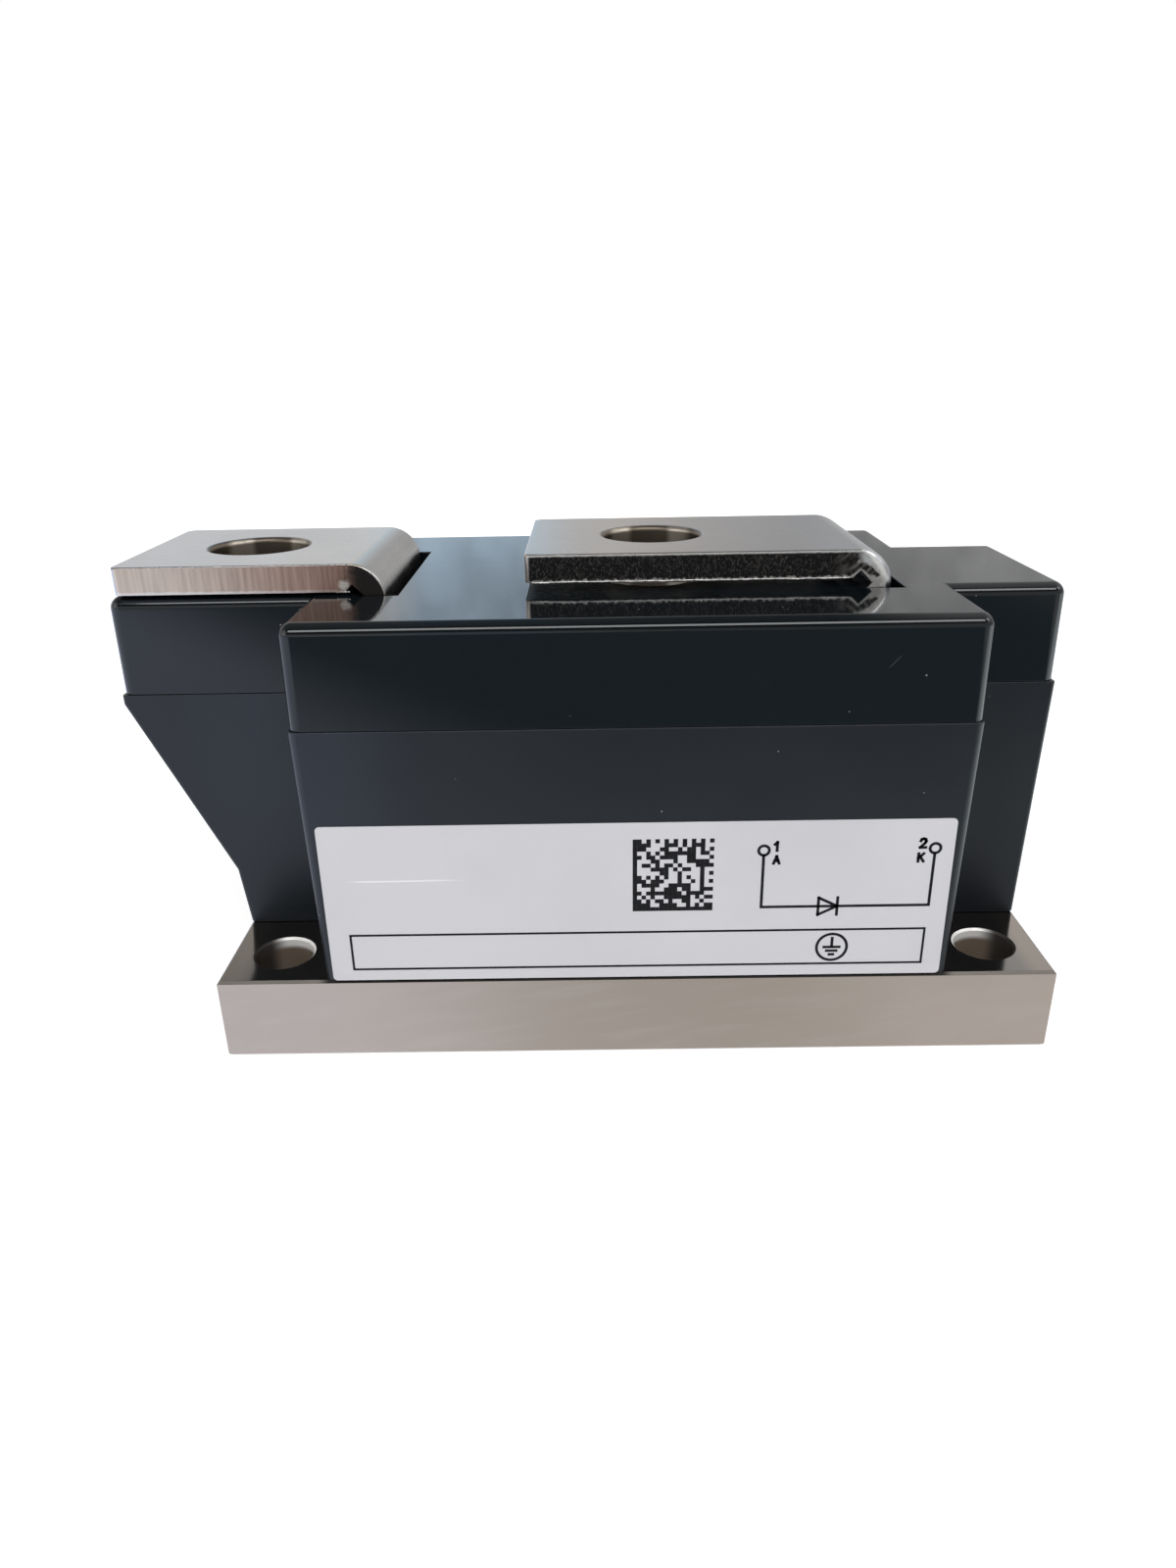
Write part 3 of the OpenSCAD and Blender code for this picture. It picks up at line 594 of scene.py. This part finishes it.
label = finished_copy("rating_label", "film_label", label_film(), edge_radius=0.03 * MM)
settle(label, "label_film", "rating_label")
label_face_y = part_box("rating_label")[0].y
ink = label_ink()

# The print is drawn flat, in millimetres across the label, and then stood up on its face.
onto_label = (
    Matrix.Translation((0, label_face_y, 0)) @ Matrix.Rotation(radians(90), 4, "X")
    @ Matrix.Scale(MM, 4))
INK_HEIGHT = 0.012
LINE = 0.25
BOLD_LINE = 0.31


def add_slab(builder, outline):
    """A thin printed field with this outline."""
    bottom = [builder.verts.new((x, y, 0)) for x, y in outline]
    face = builder.faces.new(bottom)
    raised = bmesh.ops.extrude_face_region(builder, geom=[face])["geom"]
    moved = [item for item in raised if isinstance(item, bmesh.types.BMVert)]
    bmesh.ops.translate(builder, verts=moved, vec=(0, 0, INK_HEIGHT))


def add_stroke(builder, start, end, width):
    """A straight printed line with square ends."""
    start, end = Vector(start), Vector(end)
    half = (end - start).normalized() * width / 2
    side = Vector((-half.y, half.x))
    corners = (start - half - side, end + half - side, end + half + side, start - half + side)
    add_slab(builder, corners)


def add_ring(builder, centre, radius, width, parts=40):
    """A printed ring, closed all round."""
    outer, inner = radius + width / 2, radius - width / 2
    section = ((inner, 0), (outer, 0), (outer, INK_HEIGHT), (inner, INK_HEIGHT))
    loops = []
    for part in range(parts):
        angle = 2 * pi * part / parts
        across, up = cos(angle), sin(angle)
        loops.append([builder.verts.new((centre[0] + reach * across, centre[1] + reach * up, z))
                      for reach, z in section])
    for loop, following in zip(loops, loops[1:] + loops[:1]):
        for corner in range(len(section)):
            builder.faces.new(
                (loop[corner - 1], loop[corner], following[corner], following[corner - 1]))


# Plain terminal signs as pen strokes in a square of one, about its middle.
SIGNS = {
    "1": (((-0.20, 0.26), (0.06, 0.50), (0.06, -0.50)),),
    "2": (((-0.28, 0.26), (-0.20, 0.43), (0.0, 0.50), (0.20, 0.43), (0.27, 0.22), (0.15, 0.0),
           (-0.29, -0.50), (0.29, -0.50)),),
    "A": (((-0.36, -0.50), (0.0, 0.50), (0.36, -0.50)), ((-0.22, -0.16), (0.22, -0.16))),
    "K": (((-0.28, 0.50), (-0.28, -0.50)), ((0.30, 0.50), (-0.28, -0.08)),
          ((-0.08, 0.12), (0.32, -0.50))),
}


def add_sign(builder, sign, centre, height):
    """One terminal sign, whose height is measured over its strokes."""
    reach = height - BOLD_LINE
    for line in SIGNS[sign]:
        points = [(centre[0] + x * reach, centre[1] + y * reach) for x, y in line]
        for start, end in zip(points, points[1:]):
            add_stroke(builder, start, end, BOLD_LINE)


print_builder = bmesh.new()
TERMINAL_Z = 25.1
TERMINAL_X = (13.3, 31.0)
CIRCUIT_Z = 18.43
RING_RADIUS = 0.55
for terminal_x in TERMINAL_X:
    add_ring(print_builder, (terminal_x, TERMINAL_Z), RING_RADIUS, BOLD_LINE)
    lead_top = TERMINAL_Z - RING_RADIUS
    add_stroke(print_builder, (terminal_x, lead_top), (terminal_x, CIRCUIT_Z), BOLD_LINE)
lead_left, lead_right = TERMINAL_X[0] + BOLD_LINE / 2, TERMINAL_X[1] - BOLD_LINE / 2
add_stroke(print_builder, (lead_left, CIRCUIT_Z), (lead_right, CIRCUIT_Z), BOLD_LINE)
diode_foot, diode_tip, diode_half = 19.35, 21.35, 1.02
diode_low, diode_high = CIRCUIT_Z - diode_half, CIRCUIT_Z + diode_half
for corner_z in (diode_low, diode_high):
    add_stroke(print_builder, (diode_foot, corner_z), (diode_tip, CIRCUIT_Z), BOLD_LINE)
for bar_x in (diode_foot, diode_tip):
    add_stroke(print_builder, (bar_x, diode_low), (bar_x, diode_high), BOLD_LINE)
for sign, sign_x, sign_z, sign_height in (
        ("1", 14.6, 25.55, 1.25), ("A", 14.65, 24.0, 1.1),
        ("2", 29.7, 25.7, 1.3), ("K", 29.6, 24.05, 1.2)):
    add_sign(print_builder, sign, (sign_x, sign_z), sign_height)
border_left, border_right, border_low, border_high = -30.6, 30.9, 11.35, 15.57
for line_z in (border_low, border_high):
    add_stroke(print_builder, (border_left, line_z), (border_right, line_z), LINE)
for line_x in (border_left, border_right):
    add_stroke(print_builder, (line_x, border_low + LINE / 2), (line_x, border_high - LINE / 2), LINE)
earth_x, earth_z, earth_radius, earth_stem = 21.13, 13.4, 1.62, 1.1
add_ring(print_builder, (earth_x, earth_z), earth_radius, BOLD_LINE)
add_stroke(print_builder, (earth_x, earth_z), (earth_x, earth_z + earth_stem), BOLD_LINE)
for bar_drop, bar_half in ((0.0, 0.82), (0.46, 0.52), (0.92, 0.2)):
    bar_z = earth_z - bar_drop
    add_stroke(print_builder, (earth_x - bar_half, bar_z), (earth_x + bar_half, bar_z), BOLD_LINE)
bmesh.ops.recalc_face_normals(print_builder, faces=print_builder.faces)
print_mesh = bpy.data.meshes.new("label_print")
print_builder.to_mesh(print_mesh)
print_builder.free()
print_mesh.transform(onto_label)
label_print = new_piece("label_print", print_mesh, ink)
settle(label_print, "label_film")


# Block pattern on the label
# A square of dark blocks by chance, with two full borders and two broken ones. Like the rest
# of the print it is a thin film of ink on the label.
def grown_piece(name, tree, values, finish):
    """A piece whose mesh is grown by a node tree with these input values."""
    piece = new_piece(name, bpy.data.meshes.new(name), finish)
    growth = piece.modifiers.new("growth", "NODES")
    growth.node_group = tree
    for item in tree.interface.items_tree:
        if item.in_out == "INPUT":
            growth[item.identifier] = finish if item.name == "Finish" else values[item.name]
    evaluated_mesh(piece)
    return piece


def new_growth(name, inputs):
    """An empty node tree with named inputs and one geometry output."""
    tree = bpy.data.node_groups.new(name, "GeometryNodeTree")
    for input_name, kind in inputs.items():
        tree.interface.new_socket(input_name, in_out="INPUT", socket_type=kind)
    tree.interface.new_socket("Finish", in_out="INPUT", socket_type="NodeSocketMaterial")
    tree.interface.new_socket("Geometry", in_out="OUTPUT", socket_type="NodeSocketGeometry")
    source = tree.nodes.new("NodeGroupInput")
    given = {socket.name: Wire(tree, socket) for socket in source.outputs if socket.name}
    return tree, Wire(tree), given


def close_growth(wires, shape, given):
    """Ends a node tree with real geometry in the given finish."""
    real = wires.node("GeometryNodeRealizeInstances", {}, {"Geometry": shape})
    painted = wires.node("GeometryNodeSetMaterial", {}, {"Geometry": real, "Material": given["Finish"]})
    wires.node("NodeGroupOutput", {}, {"Geometry": painted})


# Share of a cell that its block covers, so that neighbours don't touch.
BLOCK_SHARE = 0.995
BLOCK_CHANCE = 0.52


def block_pattern():
    tree, wires, given = new_growth("block_pattern", {
        "Cells": "NodeSocketInt", "Cell": "NodeSocketFloat", "Height": "NodeSocketFloat",
        "Seed": "NodeSocketInt"})
    cells, cell = given["Cells"], given["Cell"]
    width = (cells - 1) * cell
    grid = wires.node("GeometryNodeMeshGrid", {}, {
        "Size X": width, "Size Y": width, "Vertices X": cells, "Vertices Y": cells})
    position = wires.node("GeometryNodeInputPosition")
    places = [wires.node("ShaderNodeSeparateXYZ", {}, {"Vector": position}, axis) for axis in "XY"]
    column, row = (
        wires.math("ROUND", wires.math("DIVIDE", place + width * 0.5, cell)) for place in places)
    chance = wires.node("FunctionNodeRandomValue", {"data_type": "FLOAT"}, {"Seed": given["Seed"]}, 1)
    full = wires.math("MAXIMUM", column < 0.5, row < 0.5)
    far_border = wires.math("MAXIMUM", column > cells - 1.5, row > cells - 1.5)
    broken = wires.math("FLOORED_MODULO", column + row, 2.0) < 0.5
    inside = (chance < BLOCK_CHANCE) * (1 - far_border)
    shown = wires.math("MAXIMUM", wires.math("MAXIMUM", full, inside), far_border * broken)
    side = cell * BLOCK_SHARE
    size = wires.node("ShaderNodeCombineXYZ", {}, {"X": side, "Y": side, "Z": given["Height"]})
    block = wires.node("GeometryNodeMeshCube", {}, {"Size": size})
    blocks = wires.node("GeometryNodeInstanceOnPoints", {}, {
        "Points": grid, "Instance": block, "Selection": shown > 0.5})
    close_growth(wires, blocks, given)
    return tree


PATTERN_CELLS = 18
PATTERN_WIDTH = 8.45
PATTERN_SEED = 7
pattern_x, pattern_z = 3.93, 22.35
label_blocks = grown_piece("label_blocks", block_pattern(), {
    "Cells": PATTERN_CELLS, "Cell": PATTERN_WIDTH / PATTERN_CELLS, "Height": INK_HEIGHT,
    "Seed": PATTERN_SEED}, ink)
label_blocks.data.transform(onto_label @ Matrix.Translation((pattern_x, pattern_z, INK_HEIGHT / 2)))
settle(label_blocks, "label_film")


# Burrs on the strips
# The punch left a ragged bright lip along the lower front edge of the cathode's tab, and the
# groove tool a short one where the anode's flank is bent.
def ragged_burr():
    tree, wires, given = new_growth("ragged_burr", {
        "Length": "NodeSocketFloat", "Radius": "NodeSocketFloat", "Waviness": "NodeSocketFloat",
        "Points": "NodeSocketInt", "Seed": "NodeSocketFloat"})
    end = wires.node("ShaderNodeCombineXYZ", {}, {"X": given["Length"]})
    line = wires.node("GeometryNodeCurvePrimitiveLine", {}, {"End": end})
    points = wires.node("GeometryNodeResampleCurve", {}, {"Curve": line, "Count": given["Points"]})
    position = wires.node("GeometryNodeInputPosition")
    rough, wavy = (wires.node("ShaderNodeTexNoise", {"noise_dimensions": "4D"}, {
        "Vector": position, "W": given["Seed"], "Scale": scale, "Detail": 3.0})
        for scale in (2.6, 0.35))
    sway = wires.node("ShaderNodeCombineXYZ", {}, {
        "Y": (rough - 0.5) * given["Waviness"], "Z": (wavy - 0.5) * given["Waviness"]})
    swayed = wires.node("GeometryNodeSetPosition", {}, {"Geometry": points, "Offset": sway})
    thickened = wires.node("GeometryNodeSetCurveRadius", {}, {"Curve": swayed, "Radius": rough * 2.0})
    section = wires.node("GeometryNodeCurvePrimitiveCircle", {}, {
        "Resolution": 8, "Radius": given["Radius"]})
    tube = wires.node("GeometryNodeCurveToMesh", {}, {
        "Curve": thickened, "Profile Curve": section, "Fill Caps": True})
    close_growth(wires, tube, given)
    return tree


def burr_nickel():
    finish, wires = new_finish("burr_nickel")
    grain = wires.noise(3000.0, detail=3.0)
    bright = grain.between(0.35, 0.65)
    wires.surface({
        "Base Color": wires.mix(bright, (0.34, 0.33, 0.32, 1), (0.72, 0.70, 0.68, 1)),
        "Metallic": 1.0, "Roughness": 0.3 + 0.2 * grain})
    return finish


burr_growth = ragged_burr()
burr_finish = burr_nickel()
# Lengths and radii of the burrs are in millimetres.
CATHODE_BURR = {"Length": 33.4, "Radius": 0.13, "Waviness": 0.22, "Points": 260, "Seed": 4.0}
ANODE_BURR = {"Length": 1.4, "Radius": 0.11, "Waviness": 0.4, "Points": 20, "Seed": 9.0}
ANODE_BURR_BEFORE_BEND = 1.5 * MM
# A burr's line lies this far inside the flank and above the strip's lower face.
BURR_INSET = 0.06 * MM
BURR_RISE = 0.05 * MM
for name, burr_x, values in (
        ("cathode", TAB_LEFT["cathode"] + CORNER_RADIUS, CATHODE_BURR),
        ("anode", BEND_X["anode"] - ANODE_BURR_BEFORE_BEND, ANODE_BURR)):
    burr = grown_piece(name + "_burr", burr_growth, values, burr_finish)
    burr_z = TAB_TOP[name] - STRIP_THICKNESS + BURR_RISE
    burr_place = Vector((burr_x, BURR_INSET - STRIP_HALF_WIDTH, burr_z))
    burr.data.transform(Matrix.Translation(burr_place) @ Matrix.Scale(MM, 4))
    settle(burr, "nickel_strip")


# Studio
# White floor, white sky, a lamp above the camera and two weaker ones at the sides. Gloss shows
# a clouded backdrop that darkens upwards and to the right, with a bluish strip, a window and a
# dark room high up in front, and a floor that is dim in front and lit at the right.
def ray_share(wires, *kinds):
    """1 for these kinds of rays and 0 for the others."""
    total = wires.node("ShaderNodeLightPath", output=kinds[0])
    for kind in kinds[1:]:
        total = wires.math("MAXIMUM", total, wires.node("ShaderNodeLightPath", output=kind))
    return total


sky = bpy.data.worlds.new("studio_sky")
sky.use_nodes = True
sky.node_tree.nodes.clear()
bpy.context.scene.world = sky
sky_wires = Wire(sky.node_tree)
ambient = 0.46
sky_side = sky_wires.along("Generated", "X")
sky_depth = sky_wires.along("Generated", "Y")
sky_height = sky_wires.along("Generated", "Z")
seen_plain = ray_share(sky_wires, "Is Camera Ray", "Is Transmission Ray")
seen_in_gloss = ray_share(sky_wires, "Is Glossy Ray")
window = sky_side.between(0.22, 0.34) * sky_height.between(0.26, 0.42)
dip = sky_side.between(0.0, 0.1) * sky_side.between(0.27, 0.18)
clouds = sky_wires.node("ShaderNodeTexNoise", {}, {
    "Vector": sky_wires.node("ShaderNodeTexCoord", output="Generated"), "Scale": 30.0, "Detail": 2.0})
darker_right = sky_side.between(-0.25, 0.2)
cloudiness = 0.85 + 0.34 * clouds.between(0.3, 0.7)
level = (0.86 - 0.36 * darker_right - 0.06 * dip) * cloudiness
room = 1 - 0.85 * sky_depth.between(-0.1, -0.5) * sky_height.between(0.30, 0.48)
backdrop = (level * (1 - 0.72 * sky_height.between(0.2, 0.75)) + 0.66 * window) * room
blue = sky_side.between(-0.21, -0.15) * sky_side.between(-0.01, -0.07) * seen_in_gloss
sky_light = ambient * (1 - seen_in_gloss) + backdrop * seen_in_gloss
background = sky_wires.node("ShaderNodeBackground", {}, {
    "Color": sky_wires.mix(blue, (1, 1, 1, 1), (0.82, 1.04, 1.25, 1)),
    "Strength": sky_light * (1 - seen_plain) + seen_plain})
sky_wires.node("ShaderNodeOutputWorld", {}, {"Surface": background})

floor_half = 2.0
floor_mesh = bpy.data.meshes.new("floor")
floor_mesh.from_pydata(
    [(-floor_half, -floor_half, 0), (floor_half, -floor_half, 0), (floor_half, floor_half, 0),
     (-floor_half, floor_half, 0)], [], [(0, 1, 2, 3)])
floor_finish, floor_wires = new_finish("pale_floor")
floor_x = floor_wires.along("Object", "X")
floor_y = floor_wires.along("Object", "Y")
floor_far = (floor_x * floor_x + floor_y * floor_y).between(0.02, 0.25)
floor_glow = (0.50 + 0.50 * floor_far) * ray_share(floor_wires, "Is Camera Ray", "Is Transmission Ray")
floor_cloud = floor_wires.noise(3.0)
floor_cloth = floor_wires.node("ShaderNodeBsdfPrincipled", {}, {
    "Base Color": floor_wires.mix(floor_cloud, (0.84, 0.84, 0.84, 1), (0.87, 0.87, 0.87, 1)),
    "Roughness": 0.9, "Specular IOR Level": 0.0, "Emission Strength": 1.0,
    "Emission Color": floor_wires.mix(floor_glow, (0, 0, 0, 1), (1, 1, 1, 1))})
floor_skew = floor_x - 0.85 * floor_y - 0.155
dim_front = (
    floor_y.between(-0.06, -0.13) * floor_skew.between(-0.128, -0.05) * floor_x.between(0.20, 0.12))
floor_side = floor_x.between(0.05, -0.16)
floor_shine = floor_wires.mix(floor_side, (0.70, 0.72, 0.74, 1), (1.05, 1.15, 1.40, 1))
bright_right = floor_x.between(0.05, 0.10) * floor_y.between(-0.12, -0.07) * floor_y.between(0.06, 0.02)
floor_lit = floor_wires.mix(bright_right, floor_shine, (1.6, 1.75, 1.8, 1))
floor_gloss = floor_wires.node("ShaderNodeEmission", {}, {
    "Color": floor_wires.mix(dim_front, floor_lit, (0.165, 0.207, 0.245, 1))})
floor_seen = floor_wires.node("ShaderNodeMixShader", {}, {
    0: ray_share(floor_wires, "Is Glossy Ray"), 1: floor_cloth, 2: floor_gloss})
floor_wires.node("ShaderNodeOutputMaterial", {}, {"Surface": floor_seen})
floor = new_piece("floor", floor_mesh, floor_finish)


def add_lamp(name, place, width, height, power):
    """A flat lamp that looks at the middle of the part."""
    lamp = bpy.data.lights.new(name, "AREA")
    lamp.shape = "RECTANGLE"
    lamp.size = width
    lamp.size_y = height
    lamp.energy = power
    carrier = bpy.data.objects.new(name, lamp)
    carrier.location = place
    target = Vector((0, 0, 0.03))
    carrier.rotation_euler = (target - Vector(place)).to_track_quat("-Z", "Y").to_euler()
    bpy.context.scene.collection.objects.link(carrier)


add_lamp("front_lamp", (0.03, -0.56, 0.74), width=0.95, height=0.23, power=4.1)
add_lamp("left_lamp", (-0.75, -0.35, 0.40), width=0.5, height=0.5, power=0.9)
add_lamp("right_lamp", (0.72, -0.20, 0.62), width=0.3, height=0.3, power=0.9)

# View of the photograph
# A pinhole camera, fitted to the edges in the photograph. Its focal length is in pixels of a
# frame of 1200 by 1600, and its axis goes through the frame's middle.
PHOTO_HEIGHT = 1600
focal_pixels = 1066.9
eye = (-3.92 * MM, -122.23 * MM, 73.70 * MM)
view_turn, view_tilt, view_roll = radians(0.513), radians(67.191), radians(-1.035)
camera_data = bpy.data.cameras.new("view")
camera_data.sensor_fit = "VERTICAL"
camera_data.sensor_height = 36.0
camera_data.lens = focal_pixels * camera_data.sensor_height / PHOTO_HEIGHT
camera_data.clip_start = 0.005
camera = bpy.data.objects.new("view", camera_data)
camera.matrix_world = (
    Matrix.Translation(eye) @ Matrix.Rotation(view_turn, 4, "Z")
    @ Matrix.Rotation(view_tilt, 4, "X") @ Matrix.Rotation(view_roll, 4, "Z"))
bpy.context.scene.collection.objects.link(camera)
bpy.context.scene.camera = camera
bpy.context.scene.view_settings.view_transform = "Standard"
